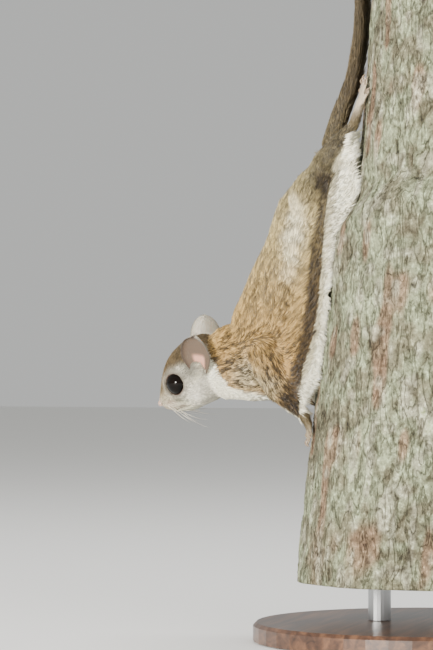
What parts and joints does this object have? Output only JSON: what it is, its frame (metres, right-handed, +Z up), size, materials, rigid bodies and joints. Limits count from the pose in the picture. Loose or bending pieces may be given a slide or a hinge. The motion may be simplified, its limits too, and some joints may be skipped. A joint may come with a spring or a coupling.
{
  "type": "flying squirrel on a trunk perch",
  "caption": "Life-size flying squirrel clinging head down to a cut length of trunk, head lifted clear, tail up the bark, on a plain round display stand.",
  "frame": {"origin": "bottom centre of the whole model's box, on the underside of the stand base", "axes": "+Z up along the trunk, +Y to the animal's right, across the stand, +X from the animal's back towards the trunk"},
  "size_m": [0.203, 0.152, 0.323],
  "materials": {
    "coat_brown": "soft brown fur",
    "coat_white": "soft white fur",
    "tail_coat": "soft dark fur",
    "bare_skin": "thin bare skin",
    "eye_black": "glossy",
    "bark": "rough lichened bark",
    "stand_wood": "satin lacquer",
    "stand_steel": "brushed"
  },
  "bodies": {
    "root": {"head": "coat_brown", "nose_pad": "bare_skin", "eye_left": "eye_black", "eye_right": "eye_black", "ear_left": "bare_skin", "ear_right": "bare_skin", "neck": "coat_brown", "chest": "coat_brown", "abdomen": "coat_brown", "upper_arm_left": "coat_brown", "upper_arm_right": "coat_brown", "forearm_left": "coat_brown", "forearm_right": "coat_brown", "forefoot_left": "coat_brown", "forefoot_right": "coat_brown", "thigh_left": "coat_brown", "thigh_right": "coat_brown", "shin_left": "coat_brown", "shin_right": "coat_brown", "hind_foot_left": "coat_brown", "hind_foot_right": "coat_brown", "patagium_left": "coat_white", "patagium_right": "coat_white", "tail_base": "tail_coat", "tail_middle": "tail_coat", "tail_tip": "tail_coat", "trunk_log": "bark", "stand_base": "stand_wood", "stand_rod_front": "stand_steel", "stand_rod_back": "stand_steel"}
  },
  "joints": []
}
